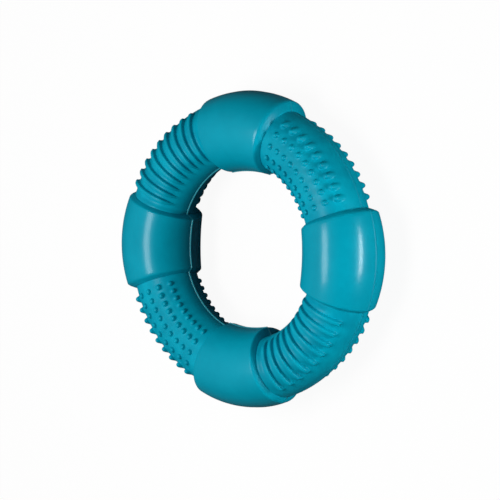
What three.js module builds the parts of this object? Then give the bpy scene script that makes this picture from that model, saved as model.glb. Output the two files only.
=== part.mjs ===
// Foam dog ring.
// Two moulded rubber half skins close round a foam ring and are bonded along the middle plane.
// The ring lies flat: its axis is Z, the front face is up, and Z = 0 is the face it rests on.
// Going round from +X towards +Y there is a smooth barrel-shaped band every 90 degrees,
// with a pegged stretch, a ribbed one, a pegged one and a ribbed one between them.

import * as THREE from 'three';

// The tube: mm and degrees
const ringRadius = 58;            // axis of the ring to the centre of the tube
// Half thickness of each kind of stretch across the ring and along Z, without pegs or ribs,
// and how far its centre lies outside the circle of ringRadius
const pegStretch = { radial: 15.5, axial: 15.55, shift: -1 };
const ribStretch = { radial: 15.5, axial: 15.3, shift: 1.2 };

// The four smooth bands
const bandHalfAngle = 19;
const bandEndRadial = 18.7;
const bandEndAxial = 18.6;
const bandMidRadial = 19.45;
const bandMidAxial = 20.4;
const landHeight = 19.75;         // centre plane to the flat land on each band of the back

// Pegs and ribs: nine columns of each, front and back
const columnCount = 9;
const columnPitch = 5;
const pegRadius = 1.35;
const pegTopRadius = 0.95;
const pegRows = [
  { offset: 11.6, height: 3 },
  { offset: 6.1, height: 1.7 },
  { offset: 0, height: 1.5 },
  { offset: -6.05, height: 1.6 },
  { offset: -11.2, height: 1.6 },
];
const ribHeight = 2;
const ribHalfWidth = 1.4;
const ribTopHalfWidth = 0.7;

// The seam, the cavity and the foam
const seamHalfHeight = 0.5;
const seamGap = 0.05;             // between a skin's edge and the bonding bead
const innerSeamProud = 0.4;
const outerSeamProud = 0.12;
const cavityRadial = 12.1;
const cavityAxial = 11.9;
const foamGap = 0.35;
const cavitySteps = 48;
const cavitySides = 12;

// Tube angles, 0 at the outer equator, 90 on top and 180 at the inner equator
const ribAngles = [0, 12, 24, 36, 43, 58, 74, 90, 106, 122, 137, 145, 157, 169, 180];
const ribFade = [0, 0, 0, 0, 1, 1, 1, 1, 1, 0.95, 0.75, 0, 0, 0, 0];
const bandAngles = [0, 11, 22, 34, 48, 64, 80, 90, 100, 116, 132, 146, 158, 169, 180];
const firstPegStrip = 2;          // strips below the outermost row of pegs

const degrees = Math.PI / 180;
const mix = (from, to, share) => from + (to - from) * share;

// Tube angle at which the bare surface is `offset` outside the tube's centre
function angleAt(offset) {
  return Math.acos(offset / pegStretch.radial) / degrees;
}

// Each row of pegs takes two strips: from one boundary over the row's own line to the next
function makePegAngles() {
  const edge = angleAt(14.3);
  const angles = [0, edge / 2, edge];
  pegRows.forEach((row, index) => {
    const next = pegRows[index + 1];
    const last = next ? angleAt((row.offset + next.offset) / 2) : 180 - edge;
    angles.push((angles[angles.length - 1] + last) / 2, last);
  });
  angles.push(180 - edge / 2, 180);
  return angles;
}

const pegAngles = makePegAngles();

const stretches = {
  peg: { ...pegStretch, angles: pegAngles },
  rib: { ...ribStretch, angles: ribAngles },
};

// A line is one section through the tube: where it is, how thick, and at which tube angles its
// points lie. `rise` is how far the section stands above the bare stretch.
function stretchLine(kind, turn, rise = 0) {
  const { radial, axial, shift, angles } = stretches[kind];
  return { kind, turn, rise, centre: ringRadius + shift, radial, axial, angles };
}

// Across a band's shoulder `share` goes from 0 at its foot to 1 on the barrel
function bandLine(kind, middle, away, share) {
  const foot = stretchLine(kind, middle + away);
  const crown = 1 - (away / bandHalfAngle) ** 2;
  return {
    kind: 'band',
    turn: middle + away,
    rise: 0,
    centre: mix(foot.centre, ringRadius, share),
    radial: mix(foot.radial, mix(bandEndRadial, bandMidRadial, crown), share),
    axial: mix(foot.axial, mix(bandEndAxial, bandMidAxial, crown), share),
    angles: foot.angles.map((angle, index) => mix(angle, bandAngles[index], share)),
  };
}

const shoulder = [
  { away: 19.7, share: 0 },
  { away: 19.3, share: 0.55 },
  { away: 18.6, share: 0.86 },
  { away: 17.3, share: 1 },
  { away: 11, share: 1 },
  { away: 5.5, share: 1 },
];

function bandLines(middle, kindBefore, kindAfter) {
  const before = shoulder.map(({ away, share }) => bandLine(kindBefore, middle, -away, share));
  const after = shoulder.map(({ away, share }) => bandLine(kindAfter, middle, away, share));
  return [...before, bandLine(kindAfter, middle, 0, 1), ...after.reverse()];
}

function pegLines(middle) {
  const first = -columnCount * columnPitch / 2;
  const lines = [];
  for (let column = 0; column <= columnCount; column++) {
    lines.push(stretchLine('peg', middle + first + column * columnPitch));
  }
  return lines;
}

// A rib keeps its width in mm all round the tube, so its lines are shifted across, not turned
function ribLines(middle) {
  const half = (columnCount - 1) / 2;
  const lines = [];
  for (let column = -half; column <= half; column++) {
    const turn = middle + column * columnPitch;
    lines.push(
      { ...stretchLine('rib', turn), across: -ribHalfWidth },
      { ...stretchLine('rib', turn, 1), across: -ribTopHalfWidth },
      { ...stretchLine('rib', turn, 1), across: ribTopHalfWidth },
      { ...stretchLine('rib', turn), across: ribHalfWidth },
    );
  }
  return lines;
}

const skinLines = [
  ...bandLines(0, 'rib', 'peg'),
  ...pegLines(45),
  ...bandLines(90, 'peg', 'rib'),
  ...ribLines(135),
  ...bandLines(180, 'rib', 'peg'),
  ...pegLines(225),
  ...bandLines(270, 'peg', 'rib'),
  ...ribLines(315),
];

const cavityTurns = [];
for (let step = 0; step < cavitySteps; step++) {
  cavityTurns.push(skinLines[0].turn + step * 360 / cavitySteps);
}

// Where a point of a line lies round the ring: `across` moves it sideways by mm
function turnAt(line, distance) {
  return line.turn + (line.across ?? 0) / distance / degrees;
}

// Distance out from the tube's centre and height of a point of a line, front half
function sectionPoint(line, index, edgeHeight) {
  const count = line.angles.length;
  const height = ribHeight * line.rise * ribFade[index];
  const radial = line.radial + height;
  const axial = line.axial + height;
  if (index === 0 || index === count - 1) {
    const out = radial * Math.sqrt(1 - (edgeHeight / axial) ** 2);
    return [index === 0 ? out : -out, edgeHeight];
  }
  const angle = line.angles[index] * degrees;
  return [radial * Math.cos(angle), axial * Math.sin(angle)];
}

// Collects the vertices and triangles of one closed body; a back half is the mirrored front
class Body {
  constructor(mirrored = false) {
    this.side = mirrored ? -1 : 1;
    this.points = [];
    this.faces = [];
  }

  vertex(distance, turn, height, lowest = -Infinity) {
    const angle = turn * degrees;
    const z = Math.max(this.side * height, lowest);
    this.points.push(distance * Math.cos(angle), distance * Math.sin(angle), z);
    return this.points.length / 3 - 1;
  }

  triangle(a, b, c) {
    if (this.side > 0) this.faces.push(a, b, c);
    else this.faces.push(a, c, b);
  }

  quad(a, b, c, d) {
    this.triangle(a, b, c);
    this.triangle(a, c, d);
  }

  // Flat ring between two closed loops of { turn, id } that lie one inside the other
  zip(outer, inner) {
    const loops = [outer, inner].map((loop) => [...loop, { turn: loop[0].turn + 360, id: loop[0].id }]);
    const at = [0, 0];
    while (at[0] < outer.length || at[1] < inner.length) {
      const [out, inside] = loops.map((loop, which) => loop[at[which]]);
      const ahead = loops.map((loop, which) => loop[at[which] + 1]?.turn ?? Infinity);
      const which = ahead[0] <= ahead[1] ? 0 : 1;
      at[which] += 1;
      this.triangle(out.id, inside.id, loops[which][at[which]].id);
    }
  }

  geometry() {
    const geometry = new THREE.BufferGeometry();
    geometry.setAttribute('position', new THREE.Float32BufferAttribute(this.points, 3));
    geometry.setIndex(this.faces);
    geometry.computeVertexNormals();
    return geometry;
  }
}

// One peg, moulded along Z, standing in a cell of two strips between two lines
function addPeg(body, row, turn, border) {
  const { radial, axial, shift } = pegStretch;
  const centre = ringRadius + shift;
  const distance = centre + row.offset;
  const bareHeight = (out) => axial * Math.sqrt(1 - (out / radial) ** 2);
  const top = bareHeight(row.offset) + row.height;
  const foot = [];
  const crown = [];
  for (let corner = 0; corner < 6; corner++) {
    const angle = corner * 60 * degrees;
    const across = Math.cos(angle);
    const out = Math.sin(angle);
    const footOut = distance + pegRadius * out;
    const footTurn = turn + pegRadius * across / footOut / degrees;
    foot.push(body.vertex(footOut, footTurn, bareHeight(footOut - centre)));
    const topOut = distance + pegTopRadius * out;
    const topTurn = turn + pegTopRadius * across / topOut / degrees;
    crown.push(body.vertex(topOut, topTurn, top));
  }
  for (let corner = 0; corner < 6; corner++) {
    const next = (corner + 1) % 6;
    body.quad(border[corner], foot[corner], foot[next], border[next]);
    body.quad(foot[corner], crown[corner], crown[next], foot[next]);
  }
  for (let corner = 1; corner < 5; corner++) {
    body.triangle(crown[0], crown[corner + 1], crown[corner]);
  }
}

function makeSkin(mirrored) {
  const body = new Body(mirrored);
  const edgeHeight = seamHalfHeight + seamGap;
  const strips = bandAngles.length - 1;
  const grid = skinLines.map((line) => line.angles.map((_, index) => {
    const [out, height] = sectionPoint(line, index, edgeHeight);
    const distance = line.centre + out;
    const turn = turnAt(line, distance);
    const lowest = mirrored && line.kind === 'band' ? -landHeight : -Infinity;
    return { turn, id: body.vertex(distance, turn, height, lowest) };
  }));
  const lastPegStrip = firstPegStrip + 2 * pegRows.length;
  skinLines.forEach((line, here) => {
    const next = (here + 1) % skinLines.length;
    const pegCell = line.kind === 'peg' && skinLines[next].kind === 'peg';
    for (let strip = 0; strip < strips; strip++) {
      if (pegCell && strip >= firstPegStrip && strip < lastPegStrip) {
        if ((strip - firstPegStrip) % 2 === 1) continue;
        // border from the next line's middle round by the outer side, as the peg's corners run
        const border = [
          grid[next][strip + 1],
          grid[next][strip],
          grid[here][strip],
          grid[here][strip + 1],
          grid[here][strip + 2],
          grid[next][strip + 2],
        ].map(({ id }) => id);
        const row = pegRows[(strip - firstPegStrip) / 2];
        addPeg(body, row, line.turn + columnPitch / 2, border);
      } else {
        const [low, high] = [strip, strip + 1];
        body.quad(grid[here][low].id, grid[next][low].id, grid[next][high].id, grid[here][high].id);
      }
    }
  });
  const cavityEdge = Math.asin(edgeHeight / cavityAxial);
  const cavity = cavityTurns.map((turn) => {
    const ids = [];
    for (let side = 0; side <= cavitySides / 2; side++) {
      const angle = side * 360 / cavitySides * degrees;
      const clear = Math.min(Math.max(angle, cavityEdge), Math.PI - cavityEdge);
      ids.push(body.vertex(ringRadius + cavityRadial * Math.cos(clear), turn, cavityAxial * Math.sin(clear)));
    }
    return { turn, ids };
  });
  cavity.forEach(({ ids }, here) => {
    const next = cavity[(here + 1) % cavitySteps].ids;
    for (let side = 0; side < cavitySides / 2; side++) {
      body.quad(ids[side], ids[side + 1], next[side + 1], next[side]);
    }
  });
  const skinLoop = (index) => grid.map((points) => points[index]);
  const cavityLoop = (index) => cavity.map(({ turn, ids }) => ({ turn, id: ids[index] }));
  body.zip(skinLoop(0), cavityLoop(0));
  body.zip(cavityLoop(cavitySides / 2), skinLoop(strips));
  return body.geometry();
}

// A ring whose section is a closed outline of [distance, height] points, running anticlockwise
function makeRing(lines, outlineAt) {
  const body = new Body();
  const columns = lines.map((line) => (
    outlineAt(line).map(([distance, height]) => body.vertex(distance, turnAt(line, distance), height))
  ));
  columns.forEach((column, here) => {
    const next = columns[(here + 1) % columns.length];
    column.forEach((id, index) => {
      const after = (index + 1) % column.length;
      body.quad(id, next[index], next[after], column[after]);
    });
  });
  return body.geometry();
}

function makeFoamCore() {
  const outline = [];
  for (let side = 0; side < cavitySides; side++) {
    const angle = side * 360 / cavitySides * degrees;
    const out = (cavityRadial - foamGap) * Math.cos(angle);
    outline.push([ringRadius + out, (cavityAxial - foamGap) * Math.sin(angle)]);
  }
  return makeRing(cavityTurns.map((turn) => ({ turn })), () => outline);
}

// The bonding bead fills the slot between the skins' edges, from the foam to just past the skin
function makeSeamBead(outside) {
  const side = outside ? 1 : -1;
  const proud = outside ? outerSeamProud : innerSeamProud;
  const lines = skinLines.filter((line) => line.kind !== 'rib' || line.rise === 0);
  const foamSide = ringRadius + side * (cavityRadial + seamGap);
  return makeRing(lines, (line) => {
    const surface = line.radial * Math.sqrt(1 - (seamHalfHeight / line.axial) ** 2);
    const at = (out, height) => [line.centre + side * out, height];
    const outline = [
      [foamSide, -seamHalfHeight],
      at(surface, -seamHalfHeight),
      at(surface + proud, -seamHalfHeight * 0.4),
      at(surface + proud, seamHalfHeight * 0.4),
      at(surface, seamHalfHeight),
      [foamSide, seamHalfHeight],
    ];
    return outside ? outline : outline.reverse();
  });
}

const skinMaterial = new THREE.MeshStandardMaterial({ color: 0x0093ab, roughness: 0.42, metalness: 0 });
const beadMaterial = new THREE.MeshStandardMaterial({ color: 0x1aa3b8, roughness: 0.5, metalness: 0 });
const foamMaterial = new THREE.MeshStandardMaterial({ color: 0x57b9c6, roughness: 0.9, metalness: 0 });

const group = new THREE.Group();
group.position.z = landHeight;

function addPiece(name, geometry, material) {
  const mesh = new THREE.Mesh(geometry, material);
  mesh.name = name;
  group.add(mesh);
}

addPiece('front_skin', makeSkin(false), skinMaterial);
addPiece('back_skin', makeSkin(true), skinMaterial);
addPiece('foam_core', makeFoamCore(), foamMaterial);
addPiece('inner_seam_bead', makeSeamBead(false), beadMaterial);
addPiece('outer_seam_bead', makeSeamBead(true), beadMaterial);

export default group;
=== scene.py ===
import math

import bpy
from mathutils import Matrix, Vector


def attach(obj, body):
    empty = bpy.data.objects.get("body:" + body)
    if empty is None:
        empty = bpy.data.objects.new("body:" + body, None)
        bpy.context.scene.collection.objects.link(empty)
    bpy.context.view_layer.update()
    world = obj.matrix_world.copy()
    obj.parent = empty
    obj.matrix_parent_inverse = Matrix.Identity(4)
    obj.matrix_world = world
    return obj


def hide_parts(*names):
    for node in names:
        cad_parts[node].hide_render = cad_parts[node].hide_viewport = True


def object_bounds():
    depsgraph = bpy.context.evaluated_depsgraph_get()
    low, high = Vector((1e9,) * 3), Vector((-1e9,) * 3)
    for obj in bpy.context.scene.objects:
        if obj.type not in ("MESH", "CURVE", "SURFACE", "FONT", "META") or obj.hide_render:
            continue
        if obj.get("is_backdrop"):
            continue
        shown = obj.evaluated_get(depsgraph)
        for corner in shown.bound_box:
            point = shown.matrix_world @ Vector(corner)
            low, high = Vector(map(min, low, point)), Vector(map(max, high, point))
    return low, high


mm = 0.001

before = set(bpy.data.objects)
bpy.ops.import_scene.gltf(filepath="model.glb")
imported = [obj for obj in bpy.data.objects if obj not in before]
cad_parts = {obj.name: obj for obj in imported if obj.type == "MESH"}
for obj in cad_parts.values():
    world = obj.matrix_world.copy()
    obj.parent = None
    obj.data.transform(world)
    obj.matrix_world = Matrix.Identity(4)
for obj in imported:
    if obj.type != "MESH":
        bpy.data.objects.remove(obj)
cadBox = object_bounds()
print("frame loaded")


# Small helpers

def linearColor(hexText, alpha=1.0):
    channels = [int(hexText[i:i + 2], 16) / 255 for i in (0, 2, 4)]
    linear = [c / 12.92 if c <= 0.04045 else ((c + 0.055) / 1.055) ** 2.4 for c in channels]
    return (*linear, alpha)


def addNode(tree, kind, links=None, **settings):
    node = tree.nodes.new(kind)
    for name, value in settings.items():
        setattr(node, name, value)
    for socket, value in (links or {}).items():
        if isinstance(value, bpy.types.NodeSocket):
            tree.links.new(value, node.inputs[socket])
        else:
            node.inputs[socket].default_value = value
    return node


def mix(low, high, share):
    return low + (high - low) * share


def workOut(tree, known, steps):  # each step is a result's name, a Math operation and what goes into it
    for result, operation, *terms in steps:
        links = {i: known[t] if isinstance(t, str) else t for i, t in enumerate(terms)}
        known[result] = addNode(tree, "ShaderNodeMath", links, operation=operation).outputs[0]


def makeTree(name, sizes, objects=(), matters=("material",)):
    tree = bpy.data.node_groups.new(name, "GeometryNodeTree")
    tree.interface.new_socket("Geometry", in_out="OUTPUT", socket_type="NodeSocketGeometry")
    for size in sizes:
        tree.interface.new_socket(size, in_out="INPUT", socket_type="NodeSocketFloat")
    for item in objects:
        tree.interface.new_socket(item, in_out="INPUT", socket_type="NodeSocketObject")
    for matter in matters:
        tree.interface.new_socket(matter, in_out="INPUT", socket_type="NodeSocketMaterial")
    source = addNode(tree, "NodeGroupInput")
    return tree, {socket.name: socket for socket in source.outputs if socket.name}


def growPiece(name, tree, inputs):
    holder = bpy.data.objects.new(name + "Holder", bpy.data.meshes.new(name + "Holder"))
    bpy.context.scene.collection.objects.link(holder)
    modifier = holder.modifiers.new("grow", "NODES")
    modifier.node_group = tree
    for item in tree.interface.items_tree:
        if item.in_out == "INPUT" and item.name in inputs:
            modifier[item.identifier] = inputs[item.name]
    grown = holder.evaluated_get(bpy.context.evaluated_depsgraph_get())
    mesh = bpy.data.meshes.new_from_object(grown)
    holder.modifiers.remove(modifier)
    bpy.data.objects.remove(holder)
    for trait in traitNames:
        if trait in mesh.attributes:
            mesh.attributes.remove(mesh.attributes[trait])
    mesh.name = name
    piece = bpy.data.objects.new(name, mesh)
    bpy.context.scene.collection.objects.link(piece)
    print(f"{name}: {len(mesh.vertices)} points, {len(mesh.polygons)} faces")
    return piece


# The ring's sizes, in mm and degrees: 0 degrees round the tube is the outer equator, 90 the top

tube = {
    "ringRadius": 58.0,
    "pegRadial": 15.5,       # half thickness of a pegged stretch across the ring
    "pegAxial": 15.55,       # and along the ring's axis
    "pegShift": -1.0,        # its centre is this far outside the ring radius
    "ribRadial": 15.5,
    "ribAxial": 15.3,
    "ribShift": 1.2,
    "bandEndRadial": 18.7,   # half thickness of a band at its ends
    "bandEndAxial": 18.6,
    "bandMidRadial": 19.45,  # and in its middle
    "bandMidAxial": 20.4,
    "bandHalf": 19.7,        # degrees from a band's middle to the foot of its shoulder
    "pegSideRound": 2.4,     # degrees that the shoulder's rounding takes where pegs follow
    "ribSideRound": 1.7,     # and where ribs follow
    "collarHeight": 1.0,     # beside the ribs the tube swells by this much towards the shoulder
    "collarReach": 2.75,     # over these degrees
    "collarOuterEnd": 45.0,  # tube angles between which it swells
    "collarInnerEnd": 175.0,
    "collarOuterTip": 45.0,  # degrees round the tube that its ends take
    "collarInnerTip": 30.0,
    "landHeight": 19.75,     # from the middle plane down to the flats it rests on
    "cavityRadial": 12.1,
    "cavityAxial": 11.9,
    "edgeHeight": 0.55,      # the skins stop this far from the middle plane
}

columns = {
    "count": 9,              # pegs or ribs side by side on each stretch
    "pitch": 5.0,            # degrees from one to the next
    "bandPitch": 90.0,       # degrees from one band to the next
    "bandCount": 4,
}

finish = {
    "polishEnd": 1.7,        # the mould's polish ends these degrees before a shoulder's foot
    "polishCut": 0.6,        # a face counts as polished above this share
    "creaseAngle": 48.0,     # edges that fold more than this stay crisp
    "sealDistance": 0.004,   # mm between points that are joined
}

pegs = {
    "offsets": (11.6, 6.1, 0.0, -6.05, -11.2),   # mm outside the tube's centre, seen along the axis
    "heights": (3.0, 1.7, 1.5, 1.6, 1.6),
    "widths": (1.3, 1.0, 1.0, 1.0, 0.85),        # how much wider or narrower a row's feet are
    "lean": 0.35,            # 0 leaves the top level, 1 lets it follow the tube
    "profile": (                                 # radius in mm, share of the height
        (1.66, 0.0), (1.5, 0.05), (1.38, 0.16), (1.28, 0.36),
        (1.16, 0.6), (0.98, 0.81), (0.7, 0.94), (0.36, 0.99),
    ),
    "cellEdge": 14.3,        # the pegged field ends this far from the tube's centre
}

ribs = {
    "height": 2.0,
    "profile": (             # mm across from the middle, share of the height
        (0.0, 1.0), (0.5, 0.99), (0.84, 0.94), (1.04, 0.8),
        (1.16, 0.55), (1.27, 0.26), (1.4, 0.06), (1.62, 0.0),
    ),
    "outerEnd": 38.3,        # tube angles between which a rib stands
    "innerEnd": 150.0,
    "outerTip": 5.6,         # degrees that its rounded tips take
    "innerTip": 30.0,
    "tipWidth": 0.4,         # share of its width that is left at the tips
}

traitNames = ("across", "lift", "rise", "inside", "polish")     # the first three in mm, the rest 0 or 1


# Flat patterns: X is degrees round the ring and Y degrees round the tube

def tubeAngleAt(offset):
    return math.degrees(math.acos(offset / tube["pegRadial"]))


def rowBorders():
    edge = tubeAngleAt(pegs["cellEdge"])
    offsets = pegs["offsets"]
    between = [tubeAngleAt((a + b) / 2) for a, b in zip(offsets, offsets[1:])]
    return [edge, *between, 180 - edge]


borders = rowBorders()
rimHalf = 4                  # steps from the middle of a cell's side to its corner
stripShares = (0.0, 0.2, 0.4, 0.6, 0.8)
evenShares = tuple(i / (2 * rimHalf) for i in range(2 * rimHalf + 1))
tipShares = (0.0, 0.16, 0.32, 0.43, 0.51, 0.59, 0.67, 0.82, 1.0)   # closer where a rib's tip is rounded
rowShares = [tipShares, evenShares, evenShares, evenShares, tuple(1 - s for s in reversed(tipShares))]
cavityAngles = range(0, 181, 15)    # degrees round the tube
barrelTurns = range(0, 17, 2)       # degrees from a band's middle
shoulderTurns = (2.4, 1.95, 1.5, 1.2, 1.0, 0.82, 0.62, 0.44, 0.27, 0.14, 0.05, 0)   # before its foot
collarShares = (0.12, 0.28, 0.45, 0.65, 0.85)


def tubeLines():
    lines = [mix(0, borders[0], share) for share in stripShares]
    for row, shares in enumerate(rowShares):
        lines += [mix(borders[row], borders[row + 1], share) for share in shares[:-1]]
    lines += [180 - mix(0, borders[0], share) for share in (1.0, *reversed(stripShares))]
    return lines


class Pattern:
    def __init__(self):
        self.points = []
        self.faces = []
        self.traits = {name: [] for name in traitNames}

    def point(self, turn, angle, **traits):
        self.points.append((turn, angle, 0))
        for name, values in self.traits.items():
            values.append(traits.get(name, 0.0))
        return len(self.points) - 1

    def weave(self, lines, inward=False):
        for one, two in zip(lines, lines[1:]):
            for i in range(len(one) - 1):
                face = (one[i], two[i], two[i + 1], one[i + 1])
                self.faces.append(face[::-1] if inward else face)

    def closeUnderside(self, stations, outerEdge, innerEdge):  # the cavity's wall and the two flat edges
        wall = [[self.point(turn, angle, across=across, inside=1.0) for angle in cavityAngles]
                for turn, across in stations]
        self.weave(wall, inward=True)
        self.weave([[line[0], edge] for line, edge in zip(wall, outerEdge)])
        self.weave([[edge, line[-1]] for line, edge in zip(wall, innerEdge)])

    def asObject(self, name):
        mesh = bpy.data.meshes.new(name)
        mesh.from_pydata(self.points, [], self.faces)
        for trait, values in self.traits.items():
            mesh.attributes.new(trait, "FLOAT", "POINT").data.foreach_set("value", values)
        return bpy.data.objects.new(name, mesh)


def pegCell(pattern, row):
    offset, height = pegs["offsets"][row], pegs["heights"][row]
    low, high = borders[row], borders[row + 1]
    shares = rowShares[row]
    half = columns["pitch"] / 2

    def bareHeight(out):
        return tube["pegAxial"] * math.sqrt(1 - (out / tube["pegRadial"]) ** 2)

    steps = range(-rimHalf, rimHalf)     # once round the cell's rim, from its outer corner
    rim = [(1, k) for k in steps] + [(-k / rimHalf, rimHalf) for k in steps]
    rim += [(-1, -k) for k in steps] + [(k / rimHalf, -rimHalf) for k in steps]
    rings = [[] for _ in range(len(pegs["profile"]) + 2)]
    for spoke, (side, step) in enumerate(rim):
        edgeTurn, edgeAngle = half * side, mix(low, high, shares[step + rimHalf])
        direction = math.radians(-45 + spoke * 360 / len(rim))
        rings[0].append(pattern.point(edgeTurn, edgeAngle))
        for index, (plainRadius, share) in enumerate(pegs["profile"]):
            radius = plainRadius * mix(pegs["widths"][row], 1, share)
            out = offset - radius * math.sin(direction)   # up the pattern is in towards the hole
            across = radius * math.cos(direction)
            angle = tubeAngleAt(out)
            lean = (1 - pegs["lean"]) * (bareHeight(offset) - bareHeight(out))
            if index == 0:
                rings[1].append(pattern.point(edgeTurn / 2, (edgeAngle + angle) / 2, across=across / 2))
            rings[index + 2].append(pattern.point(0, angle, across=across, lift=share * (height + lean)))
    crown = pattern.point(0, tubeAngleAt(offset), lift=height)
    for outer, inner in zip(rings, rings[1:]):
        for i in range(len(rim)):
            j = (i + 1) % len(rim)
            pattern.faces.append((outer[i], outer[j], inner[j], inner[i]))
    for i in range(len(rim)):
        pattern.faces.append((rings[-1][i], rings[-1][(i + 1) % len(rim)], crown))


def pegColumn():
    pattern = Pattern()
    half = columns["pitch"] / 2
    stations = [(mix(-half, half, share), 0.0) for share in evenShares]
    lines = tubeLines()
    ends = len(stripShares) + 1
    outer = [[pattern.point(turn, angle) for angle in lines[:ends]] for turn, _ in stations]
    inner = [[pattern.point(turn, angle) for angle in lines[-ends:]] for turn, _ in stations]
    pattern.weave(outer)
    pattern.weave(inner)
    for row in range(len(pegs["offsets"])):
        pegCell(pattern, row)
    pattern.closeUnderside(stations, [line[0] for line in outer], [line[-1] for line in inner])
    return pattern.asObject("pegColumn")


def ribTip(angle):  # 0 off the rib; it rises round its outer tip and fades out softly towards the hole
    outer = 1 - min(max((angle - ribs["outerEnd"]) / ribs["outerTip"], 0), 1)
    inner = min(max((ribs["innerEnd"] - angle) / ribs["innerTip"], 0), 1)
    return math.sqrt(1 - outer * outer) * inner * inner * (3 - 2 * inner)


def ribColumn():
    pattern = Pattern()
    half = columns["pitch"] / 2
    right = [(0.0, across, share) for across, share in ribs["profile"]] + [(half, 0.0, 0.0)]
    stations = [(-turn, -across, share) for turn, across, share in reversed(right)] + right[1:]
    wall = []
    for turn, across, share in stations:
        line = []
        for angle in tubeLines():
            tip = ribTip(angle)
            narrow = mix(ribs["tipWidth"], 1, tip) if tip > 0 else 1
            rise = ribs["height"] * share * tip
            line.append(pattern.point(turn, angle, across=across * narrow, rise=rise))
        wall.append(line)
    pattern.weave(wall)
    flat = [(turn, across) for turn, across, _ in stations]
    pattern.closeUnderside(flat, [line[0] for line in wall], [line[-1] for line in wall])
    return pattern.asObject("ribColumn")


def bandPattern():
    pattern = Pattern()
    foot = tube["bandHalf"]
    shoulder = [foot - away for away in shoulderTurns]
    collar = [foot + tube["collarReach"] * share for share in collarShares]
    half = columns["bandPitch"] / 2 - columns["count"] * columns["pitch"] / 2
    right = [*barrelTurns, *shoulder, *collar, half]
    turns = [-turn for turn in reversed(right[1:])] + right
    wall = []
    for turn in turns:
        polish = float(abs(turn) < foot - finish["polishEnd"])
        wall.append([pattern.point(turn, angle, polish=polish) for angle in tubeLines()])
    pattern.weave(wall)
    stations = [(turn, 0.0) for turn in turns]
    pattern.closeUnderside(stations, [line[0] for line in wall], [line[-1] for line in wall])
    return pattern.asObject("bandPattern")


# How thick the tube is at a given turn: four barrel bands, pegged and ribbed stretches between

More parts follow.
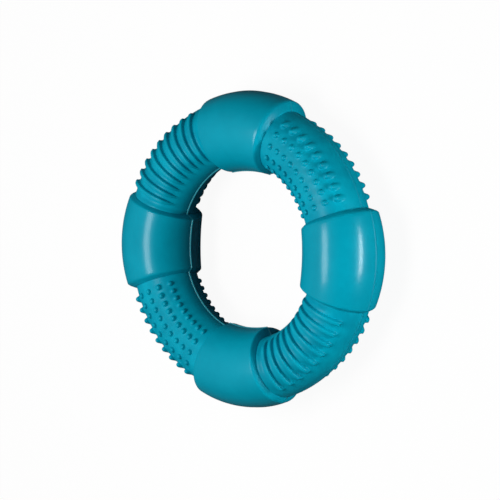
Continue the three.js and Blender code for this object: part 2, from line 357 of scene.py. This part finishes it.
sectionSteps = (
    ("quarter", "DIVIDE", "turn", columns["bandPitch"]),
    ("nearest", "ROUND", "quarter"),
    ("middle", "MULTIPLY", "nearest", columns["bandPitch"]),
    ("apart", "SUBTRACT", "turn", "middle"),
    ("away", "ABSOLUTE", "apart"),
    ("doubleTurn", "MULTIPLY", "turn", 2.0),
    ("doubleRadians", "RADIANS", "doubleTurn"),
    ("wave", "SINE", "doubleRadians"),
    ("onPegs", "GREATER_THAN", "wave", 0.0),     # pegs lie between 0 and 90 and between 180 and 270
    ("onRibs", "SUBTRACT", 1.0, "onPegs"),
    ("pegPartRound", "MULTIPLY", "pegSideRound", "onPegs"),
    ("rounding", "MULTIPLY_ADD", "ribSideRound", "onRibs", "pegPartRound"),
    ("roundStart", "SUBTRACT", "bandHalf", "rounding"),
    ("past", "SUBTRACT", "away", "roundStart"),
    ("pastShare", "DIVIDE", "past", "rounding"),
    ("pastLow", "MAXIMUM", "pastShare", 0.0),
    ("pastClear", "MINIMUM", "pastLow", 1.0),
    ("pastSquare", "MULTIPLY", "pastClear", "pastClear"),
    ("shareSquare", "SUBTRACT", 1.0, "pastSquare"),
    ("round", "SQRT", "shareSquare"),            # a quarter circle up the shoulder
    ("pastAngle", "MULTIPLY", "pastClear", math.pi),
    ("pastCos", "COSINE", "pastAngle"),
    ("ease", "MULTIPLY_ADD", "pastCos", 0.5, 0.5),   # and a soft step that fills its foot
    ("roundPart", "MULTIPLY", "round", 0.5),
    ("onBand", "MULTIPLY_ADD", "ease", 0.5, "roundPart"),
    ("awayShare", "DIVIDE", "away", "bandHalf"),
    ("awaySquare", "MULTIPLY", "awayShare", "awayShare"),
    ("crown", "SUBTRACT", 1.0, "awaySquare"),
    ("radialGain", "SUBTRACT", "bandMidRadial", "bandEndRadial"),
    ("bandRadial", "MULTIPLY_ADD", "radialGain", "crown", "bandEndRadial"),
    ("axialGain", "SUBTRACT", "bandMidAxial", "bandEndAxial"),
    ("bandAxial", "MULTIPLY_ADD", "axialGain", "crown", "bandEndAxial"),
    ("beyond", "SUBTRACT", "away", "bandHalf"),      # the collar: full at the shoulder's foot
    ("beyondShare", "DIVIDE", "beyond", "collarReach"),
    ("beyondLow", "MAXIMUM", "beyondShare", 0.0),
    ("beyondClear", "MINIMUM", "beyondLow", 1.0),
    ("beyondAngle", "MULTIPLY", "beyondClear", math.pi),
    ("beyondCos", "COSINE", "beyondAngle"),
    ("collarEase", "MULTIPLY_ADD", "beyondCos", 0.5, 0.5),
    ("pastOuterEnd", "SUBTRACT", "angle", "collarOuterEnd"),   # and none at either seam
    ("collarOuter", "DIVIDE", "pastOuterEnd", "collarOuterTip"),
    ("beforeInnerEnd", "SUBTRACT", "collarInnerEnd", "angle"),
    ("collarInner", "DIVIDE", "beforeInnerEnd", "collarInnerTip"),
    ("collarLess", "MINIMUM", "collarOuter", "collarInner"),
    ("collarLow", "MAXIMUM", "collarLess", 0.0),
    ("collarClear", "MINIMUM", "collarLow", 1.0),
    ("collarShare", "MULTIPLY", "collarEase", "collarClear"),
    ("collarAll", "MULTIPLY", "collarShare", "collarHeight"),
    ("collar", "MULTIPLY", "collarAll", "onRibs"),
    ("pegPartRadial", "MULTIPLY", "pegRadial", "onPegs"),
    ("bareRadial", "MULTIPLY_ADD", "ribRadial", "onRibs", "pegPartRadial"),
    ("footRadial", "ADD", "bareRadial", "collar"),
    ("pegPartAxial", "MULTIPLY", "pegAxial", "onPegs"),
    ("bareAxial", "MULTIPLY_ADD", "ribAxial", "onRibs", "pegPartAxial"),
    ("footAxial", "ADD", "bareAxial", "collar"),
    ("pegPartShift", "MULTIPLY", "pegShift", "onPegs"),
    ("footShift", "MULTIPLY_ADD", "ribShift", "onRibs", "pegPartShift"),
    ("offBand", "SUBTRACT", 1.0, "onBand"),
    ("radialOff", "MULTIPLY", "footRadial", "offBand"),
    ("skinRadial", "MULTIPLY_ADD", "bandRadial", "onBand", "radialOff"),
    ("axialOff", "MULTIPLY", "footAxial", "offBand"),
    ("skinAxial", "MULTIPLY_ADD", "bandAxial", "onBand", "axialOff"),
    ("skinShift", "MULTIPLY", "footShift", "offBand"),
)


def readPattern(tree, known, names):
    place = addNode(tree, "GeometryNodeInputPosition")
    parts = addNode(tree, "ShaderNodeSeparateXYZ", {0: place.outputs[0]})
    known["turn"], known["angle"] = parts.outputs[0], parts.outputs[1]
    for name in names:
        trait = addNode(tree, "GeometryNodeInputNamedAttribute", {"Name": name}, data_type="FLOAT")
        known[name] = trait.outputs[0]


def layOut(tree, source, start, pitch, count):  # repeats a flat pattern round the ring
    spots = addNode(tree, "GeometryNodeMeshLine", {"Count": count})
    offset = addNode(tree, "ShaderNodeCombineXYZ", {0: pitch})
    begin = addNode(tree, "ShaderNodeCombineXYZ", {0: start})
    tree.links.new(offset.outputs[0], spots.inputs["Offset"])
    tree.links.new(begin.outputs[0], spots.inputs["Start Location"])
    laid = addNode(tree, "GeometryNodeInstanceOnPoints", {"Points": spots.outputs[0], "Instance": source})
    return laid.outputs[0]


def wrapAndFinish(tree, known, sheets):  # bends the flat sheets round the ring and seals them
    workOut(tree, known, (
        ("angleTurn", "RADIANS", "turn"),
        ("swing", "DIVIDE", "across", "distance"),
        ("heading", "ADD", "angleTurn", "swing"),
        ("headingCos", "COSINE", "heading"),
        ("headingSin", "SINE", "heading"),
        ("x", "MULTIPLY", "distance", "headingCos"),
        ("y", "MULTIPLY", "distance", "headingSin"),
        ("xMetres", "MULTIPLY", "x", mm),
        ("yMetres", "MULTIPLY", "y", mm),
        ("raised", "ADD", "z", "landHeight"),
        ("clear", "MAXIMUM", "raised", 0.0),         # the back bands are flat where they rest
        ("zMetres", "MULTIPLY", "clear", mm),
    ))
    joined = addNode(tree, "GeometryNodeJoinGeometry")
    for sheet in sheets:
        tree.links.new(sheet, joined.inputs[0])
    real = addNode(tree, "GeometryNodeRealizeInstances", {0: joined.outputs[0]})
    place = addNode(tree, "ShaderNodeCombineXYZ", {
        0: known["xMetres"], 1: known["yMetres"], 2: known["zMetres"]})
    bent = addNode(tree, "GeometryNodeSetPosition", {
        "Geometry": real.outputs[0], "Position": place.outputs[0]})
    sealed = addNode(tree, "GeometryNodeMergeByDistance", {
        "Geometry": bent.outputs[0], "Distance": finish["sealDistance"] * mm})
    back = addNode(tree, "FunctionNodeCompare", {0: known["side"], 1: 0.0},
                   data_type="FLOAT", operation="LESS_THAN")
    turned = addNode(tree, "GeometryNodeFlipFaces", {
        "Mesh": sealed.outputs[0], "Selection": back.outputs[0]})
    smooth = addNode(tree, "GeometryNodeSetShadeSmooth", {
        "Geometry": turned.outputs[0], "Shade Smooth": True})
    fold = addNode(tree, "GeometryNodeInputMeshEdgeAngle")
    crease = math.radians(finish["creaseAngle"])
    sharp = addNode(tree, "FunctionNodeCompare", {0: fold.outputs[0], 1: crease},
                    data_type="FLOAT", operation="GREATER_THAN")
    creased = addNode(tree, "GeometryNodeSetShadeSmooth", {
        "Geometry": smooth.outputs[0], "Selection": sharp.outputs[0], "Shade Smooth": False},
        domain="EDGE")
    solid = addNode(tree, "GeometryNodeRealizeInstances", {0: creased.outputs[0]})
    dressed = addNode(tree, "GeometryNodeSetMaterial", {
        "Geometry": solid.outputs[0], "Material": known["material"]})
    if "polished" in known:
        bright = addNode(tree, "FunctionNodeCompare", {0: known["polish"], 1: finish["polishCut"]},
                         data_type="FLOAT", operation="GREATER_THAN")
        dressed = addNode(tree, "GeometryNodeSetMaterial", {
            "Geometry": dressed.outputs[0], "Selection": bright.outputs[0],
            "Material": known["polished"]})
    addNode(tree, "NodeGroupOutput", {0: dressed.outputs[0]})


# The two moulded skins

def makeSkinTree():
    tree, known = makeTree("ringSkin", [*tube, "side", "columnPitch"],
                           ("pegColumn", "ribColumn", "bandPattern"), ("material", "polished"))
    readPattern(tree, known, traitNames)
    workOut(tree, known, sectionSteps)
    workOut(tree, known, (
        ("outside", "SUBTRACT", 1.0, "inside"),
        ("radialOut", "MULTIPLY", "skinRadial", "outside"),
        ("radial", "MULTIPLY_ADD", "cavityRadial", "inside", "radialOut"),
        ("axialOut", "MULTIPLY", "skinAxial", "outside"),
        ("axial", "MULTIPLY_ADD", "cavityAxial", "inside", "axialOut"),
        ("shift", "MULTIPLY", "skinShift", "outside"),
        ("edgeShare", "DIVIDE", "edgeHeight", "axial"),
        ("lowest", "ARCSINE", "edgeShare"),
        ("highest", "SUBTRACT", math.pi, "lowest"),
        ("angleRadians", "RADIANS", "angle"),
        ("angleLow", "MAXIMUM", "angleRadians", "lowest"),
        ("angleClear", "MINIMUM", "angleLow", "highest"),
        ("angleCos", "COSINE", "angleClear"),
        ("angleSin", "SINE", "angleClear"),
        ("thickRadial", "ADD", "radial", "rise"),
        ("thickAxial", "ADD", "axial", "rise"),
        ("out", "MULTIPLY", "thickRadial", "angleCos"),
        ("centre", "ADD", "ringRadius", "shift"),
        ("distance", "ADD", "centre", "out"),
        ("up", "MULTIPLY_ADD", "thickAxial", "angleSin", "lift"),
        ("z", "MULTIPLY", "up", "side"),
        ("half", "MULTIPLY", "columnPitch", (1 - columns["count"]) / 2),
        ("pegStart", "ADD", "half", 0.5 * columns["bandPitch"]),
        ("ribStart", "ADD", "half", 1.5 * columns["bandPitch"]),
    ))
    sheets = []
    for item, start in (("pegColumn", "pegStart"), ("ribColumn", "ribStart")):
        flat = addNode(tree, "GeometryNodeObjectInfo", {"Object": known[item]}).outputs["Geometry"]
        stretch = layOut(tree, flat, known[start], known["columnPitch"], columns["count"])
        sheets.append(layOut(tree, stretch, 0.0, 2 * columns["bandPitch"], columns["bandCount"] // 2))
    flat = addNode(tree, "GeometryNodeObjectInfo", {"Object": known["bandPattern"]}).outputs["Geometry"]
    sheets.append(layOut(tree, flat, 0.0, columns["bandPitch"], columns["bandCount"]))
    wrapAndFinish(tree, known, sheets)
    return tree


# The seam between them: a thin line of bonded rubber, proud of the skins inside the hole

seam = {
    "foamSide": 12.15,       # mm from the tube's centre to the seam's root
    "halfHeight": 0.5,
    "innerProud": 0.4,
    "outerProud": 0.12,
    "arch": (0.0, 0.45, 0.8, 1.0, 0.8, 0.45, 0.0),   # how its proud face rounds over
    "step": 0.5,             # degrees between sections
}


def seamPattern(outside):
    pattern = Pattern()
    proud = seam["outerProud"] if outside else seam["innerProud"]
    count = len(seam["arch"]) - 1
    crown = [(mix(-seam["halfHeight"], seam["halfHeight"], i / count), proud * arch)
             for i, arch in enumerate(seam["arch"])]
    lines = []
    for number in range(int(columns["bandPitch"] / seam["step"]) + 1):
        turn = number * seam["step"] - columns["bandPitch"] / 2
        line = [pattern.point(turn, 0, lift=-seam["halfHeight"], inside=1.0)]
        line += [pattern.point(turn, 0, lift=height, rise=rise) for height, rise in crown]
        line += [pattern.point(turn, 0, lift=seam["halfHeight"], inside=1.0), line[0]]
        lines.append(line)
    pattern.weave(lines, inward=not outside)
    return pattern.asObject("outerSeamPattern" if outside else "innerSeamPattern")


def makeSeamTree():
    tree, known = makeTree("ringSeam", [*tube, "side", "reach", "foamSide", "halfHeight"],
                           ("seamPattern",))
    readPattern(tree, known, traitNames)
    workOut(tree, known, sectionSteps)
    workOut(tree, known, (
        ("heightShare", "DIVIDE", "halfHeight", "skinAxial"),
        ("heightSquare", "MULTIPLY", "heightShare", "heightShare"),
        ("narrowSquare", "SUBTRACT", 1.0, "heightSquare"),
        ("narrow", "SQRT", "narrowSquare"),
        ("surface", "MULTIPLY_ADD", "skinRadial", "narrow", "rise"),
        ("surfaceOut", "MULTIPLY", "surface", "reach"),
        ("surfaceAt", "ADD", "surfaceOut", "skinShift"),
        ("rootAt", "MULTIPLY", "foamSide", "reach"),
        ("outside", "SUBTRACT", 1.0, "inside"),
        ("surfacePart", "MULTIPLY", "surfaceAt", "outside"),
        ("from", "MULTIPLY_ADD", "rootAt", "inside", "surfacePart"),
        ("distance", "ADD", "ringRadius", "from"),
        ("z", "MULTIPLY", "lift", "side"),
    ))
    flat = addNode(tree, "GeometryNodeObjectInfo", {"Object": known["seamPattern"]}).outputs["Geometry"]
    wrapAndFinish(tree, known, [layOut(tree, flat, 0.0, columns["bandPitch"], columns["bandCount"])])
    return tree


# The foam inside, out of sight between the skins

foam = {
    "radial": 11.75,
    "axial": 11.55,
    "sections": 180,
    "sides": 40,
    "cellSize": 2.2,         # mm between the foam's larger cells
    "dimple": 0.12,
    "seed": 4,
}


def makeFoamTree():
    tree, known = makeTree("foamRing", (
        "ringRadius", "radial", "axial", "cellSize", "dimple", "seed", "raise"))
    workOut(tree, known, (
        ("ringMetres", "MULTIPLY", "ringRadius", mm),
        ("radialMetres", "MULTIPLY", "radial", mm),
        ("flatten", "DIVIDE", "axial", "radial"),
        ("raiseMetres", "MULTIPLY", "raise", mm),
        ("density", "DIVIDE", 1 / mm, "cellSize"),
        ("depth", "MULTIPLY", "dimple", -mm),
    ))
    path = addNode(tree, "GeometryNodeCurvePrimitiveCircle", {"Resolution": foam["sections"]})
    tree.links.new(known["ringMetres"], path.inputs["Radius"])
    ring = addNode(tree, "GeometryNodeCurvePrimitiveCircle", {"Resolution": foam["sides"]})
    tree.links.new(known["radialMetres"], ring.inputs["Radius"])
    swept = addNode(tree, "GeometryNodeCurveToMesh", {
        "Curve": path.outputs[0], "Profile Curve": ring.outputs[0]})
    squeeze = addNode(tree, "ShaderNodeCombineXYZ", {0: 1.0, 1: 1.0, 2: known["flatten"]})
    height = addNode(tree, "ShaderNodeCombineXYZ", {2: known["raiseMetres"]})
    flat = addNode(tree, "GeometryNodeTransform", {
        "Geometry": swept.outputs[0], "Translation": height.outputs[0], "Scale": squeeze.outputs[0]})
    cells = addNode(tree, "ShaderNodeTexVoronoi", {"Scale": known["density"], "W": known["seed"]},
                    voronoi_dimensions="4D", feature="F1")
    normal = addNode(tree, "GeometryNodeInputNormal")
    dent = addNode(tree, "ShaderNodeMath", {0: cells.outputs["Distance"], 1: known["depth"]},
                   operation="MULTIPLY")
    push = addNode(tree, "ShaderNodeVectorMath", {0: normal.outputs[0], "Scale": dent.outputs[0]},
                   operation="SCALE")
    bumpy = addNode(tree, "GeometryNodeSetPosition", {
        "Geometry": flat.outputs[0], "Offset": push.outputs[0]})
    smooth = addNode(tree, "GeometryNodeSetShadeSmooth", {"Geometry": bumpy.outputs[0]})
    real = addNode(tree, "GeometryNodeRealizeInstances", {0: smooth.outputs[0]})
    dressed = addNode(tree, "GeometryNodeSetMaterial", {
        "Geometry": real.outputs[0], "Material": known["material"]})
    addNode(tree, "NodeGroupOutput", {0: dressed.outputs[0]})
    return tree


# Materials

skinRubber = {
    "color": "00A0B8",
    "deepColor": "008FA8",    # where the moulded rubber is a little denser
    "cloudSize": 12.0,        # mm from one cloud to the next
    "grainSize": 0.6,         # mm: the mould's blasted grain, drawn coarser so that it shows
    "grainDepth": 0.012,
    "waveSize": 7.0,          # mm: slight waviness of a soft skin
    "waveDepth": 0.09,
    "roughness": 0.5,
    "specular": 0.13,
    "glossTint": "70DDF5",
    "coat": 0.11,             # the textured stretches come out of a blasted mould, nearly matt
    "coatRoughness": 0.3,
}

bandRubber = {                # from the polished part of the mould
    **skinRubber,
    "color": "009AB2",
    "deepColor": "0091A9",
    "cloudSize": 24.0,
    "grainDepth": 0.008,
    "waveDepth": 0.05,
    "roughness": 0.4,
    "coat": 0.33,
    "coatRoughness": 0.21,
}

innerBondPaintedHighlight = {
    # lighter than the outer bead: a painted highlight for the bright line along the seam inside the hole
    "color": "36A2B2",
    "roughness": 0.3,
    "grainSize": 0.8,
    "grainDepth": 0.01,
}

outerBond = {
    "color": "009AB4",
    "roughness": 0.36,
    "grainSize": 0.8,
    "grainDepth": 0.01,
}

foamRubber = {
    "color": "57B9C6",
    # painted shade: darker where the pits sink
    "paintedPitShade": "3A98A6",
    "cellSize": 1.4,
    "cellDepth": 0.2,
    "roughness": 0.9,
}


def newMaterial(name):
    material = bpy.data.materials.new(name)
    material.use_nodes = True
    tree = material.node_tree
    tree.nodes.clear()
    place = addNode(tree, "ShaderNodeTexCoord").outputs["Object"]
    return material, tree, place


# Injection-moulded thermoplastic rubber: satin, with a faint blasted grain from the mould
def moulded(name, look):
    material, tree, place = newMaterial(name)
    clouds = addNode(tree, "ShaderNodeTexNoise", {
        "Vector": place, "Scale": 1 / (look["cloudSize"] * mm), "Detail": 5.0, "Roughness": 0.66})
    blend = addNode(tree, "ShaderNodeMapRange", {
        "Value": clouds.outputs[0], "From Min": 0.35, "From Max": 0.65})
    color = addNode(tree, "ShaderNodeMix", {
        "Factor": blend.outputs[0], "A": linearColor(look["deepColor"]), "B": linearColor(look["color"])},
        data_type="RGBA")
    grain = addNode(tree, "ShaderNodeTexNoise", {
        "Vector": place, "Scale": 1 / (look["grainSize"] * mm), "Detail": 2.0, "Roughness": 0.6})
    gloss = addNode(tree, "ShaderNodeMapRange", {
        "Value": clouds.outputs[0], "From Min": 0.3, "From Max": 0.7,
        "To Min": look["roughness"] - 0.04, "To Max": look["roughness"] + 0.05})
    waves = addNode(tree, "ShaderNodeTexNoise", {
        "Vector": place, "Scale": 1 / (look["waveSize"] * mm), "Detail": 1.0, "Roughness": 0.4})
    broad = addNode(tree, "ShaderNodeBump", {
        "Height": waves.outputs[0], "Distance": look["waveDepth"] * mm, "Strength": 1.0})
    fine = addNode(tree, "ShaderNodeBump", {
        "Height": grain.outputs[0], "Distance": look["grainDepth"] * mm, "Strength": 1.0,
        "Normal": broad.outputs[0]})
    shader = addNode(tree, "ShaderNodeBsdfPrincipled", {
        "Base Color": color.outputs["Result"], "Roughness": gloss.outputs[0], "Normal": fine.outputs[0],
        "Specular IOR Level": look["specular"], "Specular Tint": linearColor(look["glossTint"]),
        "IOR": 1.5, "Coat Weight": look["coat"], "Coat Roughness": look["coatRoughness"],
        "Coat Normal": fine.outputs[0]})
    addNode(tree, "ShaderNodeOutputMaterial", {"Surface": shader.outputs[0]})
    return material


def bonded(look):  # the same rubber where the halves are fused, a touch smoother; the inner bead's lighter colour is a painted highlight along the seam
    material, tree, place = newMaterial("bondedRubber")
    grain = addNode(tree, "ShaderNodeTexNoise", {
        "Vector": place, "Scale": 1 / (look["grainSize"] * mm), "Detail": 2.0})
    shade = addNode(tree, "ShaderNodeMapRange", {
        "Value": grain.outputs[0], "To Min": 0.93, "To Max": 1.07})
    color = addNode(tree, "ShaderNodeVectorMath", {
        0: linearColor(look["color"])[:3], "Scale": shade.outputs[0]}, operation="SCALE")
    bump = addNode(tree, "ShaderNodeBump", {
        "Height": grain.outputs[0], "Distance": look["grainDepth"] * mm})
    shader = addNode(tree, "ShaderNodeBsdfPrincipled", {
        "Base Color": color.outputs[0], "Roughness": look["roughness"], "Normal": bump.outputs[0]})
    addNode(tree, "ShaderNodeOutputMaterial", {"Surface": shader.outputs[0]})
    return material


def foamed(look):  # closed-cell foam rubber: matt, with painted shade darkening the pores' pits
    material, tree, place = newMaterial("foamRubber")
    cells = addNode(tree, "ShaderNodeTexVoronoi", {
        "Vector": place, "Scale": 1 / (look["cellSize"] * mm)})
    pitShadeShare = addNode(tree, "ShaderNodeMapRange", {
        "Value": cells.outputs["Distance"], "From Min": 0.1, "From Max": 0.55})
    color = addNode(tree, "ShaderNodeMix", {
        "Factor": pitShadeShare.outputs[0], "A": linearColor(look["paintedPitShade"]), "B": linearColor(look["color"])},
        data_type="RGBA")
    bump = addNode(tree, "ShaderNodeBump", {
        "Height": cells.outputs["Distance"], "Distance": look["cellDepth"] * mm})
    shader = addNode(tree, "ShaderNodeBsdfPrincipled", {
        "Base Color": color.outputs["Result"], "Roughness": look["roughness"], "Normal": bump.outputs[0]})
    addNode(tree, "ShaderNodeOutputMaterial", {"Surface": shader.outputs[0]})
    return material


rubber = moulded("blastedRubber", skinRubber)
polishedRubber = moulded("polishedRubber", bandRubber)
bonds = {"inner_seam_bead": bonded(innerBondPaintedHighlight), "outer_seam_bead": bonded(outerBond)}
foamMatter = foamed(foamRubber)
print("materials made")


# Grow the pieces and put each on its node

def settle(piece, node):
    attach(piece, "root")
    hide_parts(node)
    return piece


flatPatterns = {"pegColumn": pegColumn(), "ribColumn": ribColumn(), "bandPattern": bandPattern()}
skinTree = makeSkinTree()
for node, side in (("front_skin", 1.0), ("back_skin", -1.0)):
    sizes = {**tube, **flatPatterns, "side": side, "columnPitch": columns["pitch"], "material": rubber,
             "polished": polishedRubber}
    settle(growPiece(node + "_moulded", skinTree, sizes), node)
print("skins grown")

seamTree = makeSeamTree()
for node, outside in (("inner_seam_bead", False), ("outer_seam_bead", True)):
    flatPatterns[node] = seamPattern(outside)
    sizes = {**tube, "seamPattern": flatPatterns[node], "side": 1.0, "reach": 1.0 if outside else -1.0,
             "foamSide": seam["foamSide"], "halfHeight": seam["halfHeight"], "material": bonds[node]}
    settle(growPiece(node + "_line", seamTree, sizes), node)
print("seams grown")

foamSizes = {"ringRadius": tube["ringRadius"], "raise": tube["landHeight"], "material": foamMatter}
foamSizes.update({name: float(foam[name]) for name in ("radial", "axial", "cellSize", "dimple", "seed")})
core = settle(growPiece("foam_core_body", makeFoamTree(), foamSizes), "foam_core")
print("foam grown")

for flat in flatPatterns.values():
    bpy.data.objects.remove(flat)


# Camera: the ring lies flat here, so the camera is turned round it to the photograph's view

view = {
    "side": 39.938,          # degrees that the ring is turned from facing the camera
    "down": 1.025,
    "roll": 3.469,
    "spin": 6.042,           # the ring's own turn about its axis
    "distance": 1262.5,      # mm from the ring's centre
    "lens": 186.0,           # mm, on a sensor this wide
    "sensor": 36,
    "aim": (0.105, -0.32),   # mm right and up of the ring's centre
}

ringCentre = Vector((0, 0, tube["landHeight"] * mm))


def cameraTurn():
    turn = Matrix.Rotation(math.radians(view["spin"]), 3, "Z")
    turn = turn @ Matrix.Rotation(math.radians(view["side"]), 3, "Y")
    turn = turn @ Matrix.Rotation(math.radians(-view["down"]), 3, "X")
    return turn @ Matrix.Rotation(math.radians(-view["roll"]), 3, "Z")


facing = cameraTurn()
lensData = bpy.data.cameras.new("photoCamera")
lensData.lens = view["lens"]
lensData.sensor_width = view["sensor"]
camera = bpy.data.objects.new("photoCamera", lensData)
bpy.context.scene.collection.objects.link(camera)
bpy.context.scene.camera = camera
camera.matrix_world = facing.to_4x4()
camera.location = ringCentre + facing @ Vector((*view["aim"], view["distance"])) * mm
print("camera placed")


# Studio: soft boxes placed by angles seen from the camera, a pale floor and a dim room

lamps = {                    # places in degrees and metres from the ring, sizes in metres
    "keyStrip": {
        "right": -44, "up": -4, "distance": 0.44,
        "width": 0.13, "height": 0.26, "watts": 1.4, "spread": 180,
    },
    "lowStrip": {
        "right": 50, "up": -3, "distance": 0.4,
        "width": 0.03, "height": 0.18, "watts": 0.12, "spread": 90,
    },
    "lowBox": {
        "right": 49, "up": -3, "distance": 0.44,
        "width": 0.05, "height": 0.26, "watts": 0.8, "spread": 180,
    },
}

room = {
    "color": "FFFFFF",
    "dim": 0.03,             # strength all round
    "glow": 0.735,           # and what the glowing side adds
    "mirrored": 0.06,        # share of the glow that shows as a reflection
    "right": -70,
    "up": -3,
    "reach": 66,             # degrees from the glow's middle to its edge
}

floorLook = {
    "color": "F8F8F7",
    "bounceColor": "444444",     # what it throws back on the ring
    "cameraGlow": 0.94,          # how far it fades to white for the camera
    "size": 6.0,                 # metres
    "drop": 0.05,                # mm below the ring's flats
    "speckleScale": 40.0,
    "speckleDark": 0.985,
}


def fromCamera(place):  # a direction from the ring, given in degrees right and up as the camera sees it
    right, up = math.radians(place["right"]), math.radians(place["up"])
    return facing @ Vector((math.sin(right) * math.cos(up), math.sin(up), math.cos(right) * math.cos(up)))


def placeLamp(name, lamp):
    data = bpy.data.lights.new(name, "AREA")
    data.shape = "RECTANGLE"
    data.size, data.size_y = lamp["width"], lamp["height"]
    data.energy = lamp["watts"]
    data.spread = math.radians(lamp["spread"])
    light = bpy.data.objects.new(name, data)
    bpy.context.scene.collection.objects.link(light)
    direction = fromCamera(lamp)
    across = (facing @ Vector((0, 1, 0))).cross(direction).normalized()
    upright = direction.cross(across)
    light.matrix_world = Matrix((across, upright, direction)).transposed().to_4x4()
    light.location = ringCentre + direction * lamp["distance"]


def softRoom(look):  # a dim room with one side that glows softly, like a tent wall with a lamp behind it
    world = bpy.data.worlds.new("softRoom")
    world.use_nodes = True
    tree = world.node_tree
    tree.nodes.clear()
    toward = addNode(tree, "ShaderNodeTexCoord").outputs["Generated"]
    facingIt = addNode(tree, "ShaderNodeVectorMath", {0: toward, 1: fromCamera(look)},
                       operation="DOT_PRODUCT")
    edge = math.cos(math.radians(look["reach"]))
    share = addNode(tree, "ShaderNodeMapRange", {
        "Value": facingIt.outputs["Value"], "From Min": edge, "From Max": 1.0},
        interpolation_type="SMOOTHSTEP")
    rays = addNode(tree, "ShaderNodeLightPath")
    inGloss = addNode(tree, "ShaderNodeMapRange", {
        "Value": rays.outputs["Is Glossy Ray"],
        "To Min": look["glow"], "To Max": look["glow"] * look["mirrored"]})
    level = addNode(tree, "ShaderNodeMath", {0: share.outputs[0], 1: inGloss.outputs[0], 2: look["dim"]},
                    operation="MULTIPLY_ADD")
    light = addNode(tree, "ShaderNodeBackground", {
        "Color": linearColor(look["color"]), "Strength": level.outputs[0]})
    addNode(tree, "ShaderNodeOutputWorld", {"Surface": light.outputs[0]})
    return world


for name, lamp in lamps.items():
    placeLamp(name, lamp)
bpy.context.scene.world = softRoom(room)


def paleFloor(look):  # painted board: for the camera it fades to white, with only a trace of the shadow
    material, tree, place = newMaterial("paleBoard")
    rays = addNode(tree, "ShaderNodeLightPath")
    speckle = addNode(tree, "ShaderNodeTexNoise", {
        "Vector": place, "Scale": look["speckleScale"], "Detail": 2.0})
    shade = addNode(tree, "ShaderNodeMapRange", {
        "Value": speckle.outputs[0], "To Min": look["speckleDark"], "To Max": 1.0})
    seenColor = addNode(tree, "ShaderNodeMix", {
        "Factor": rays.outputs["Is Camera Ray"],
        "A": linearColor(look["bounceColor"]), "B": linearColor(look["color"])},
        data_type="RGBA")
    color = addNode(tree, "ShaderNodeVectorMath", {
        0: seenColor.outputs["Result"], "Scale": shade.outputs[0]}, operation="SCALE")
    paint = addNode(tree, "ShaderNodeBsdfDiffuse", {"Color": color.outputs[0]})
    white = addNode(tree, "ShaderNodeEmission", {"Color": (1, 1, 1, 1), "Strength": 1.0})
    seen = addNode(tree, "ShaderNodeMath", {
        0: rays.outputs["Is Camera Ray"], 1: look["cameraGlow"]}, operation="MULTIPLY")
    both = addNode(tree, "ShaderNodeMixShader", {
        0: seen.outputs[0], 1: paint.outputs[0], 2: white.outputs[0]})
    addNode(tree, "ShaderNodeOutputMaterial", {"Surface": both.outputs[0]})
    return material


half = floorLook["size"] / 2
floorMesh = bpy.data.meshes.new("floor")
corners = [(-half, -half), (half, -half), (half, half), (-half, half)]
floorMesh.from_pydata([(x, y, -floorLook["drop"] * mm) for x, y in corners], [], [(0, 1, 2, 3)])
floorMesh.materials.append(paleFloor(floorLook))
floor = bpy.data.objects.new("floor", floorMesh)
bpy.context.scene.collection.objects.link(floor)
floor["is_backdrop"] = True
bpy.context.scene.view_settings.view_transform = "Standard"
print("studio set")

sizes = {"cad": [list(corner) for corner in cadBox], "visual": [list(corner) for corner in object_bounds()]}
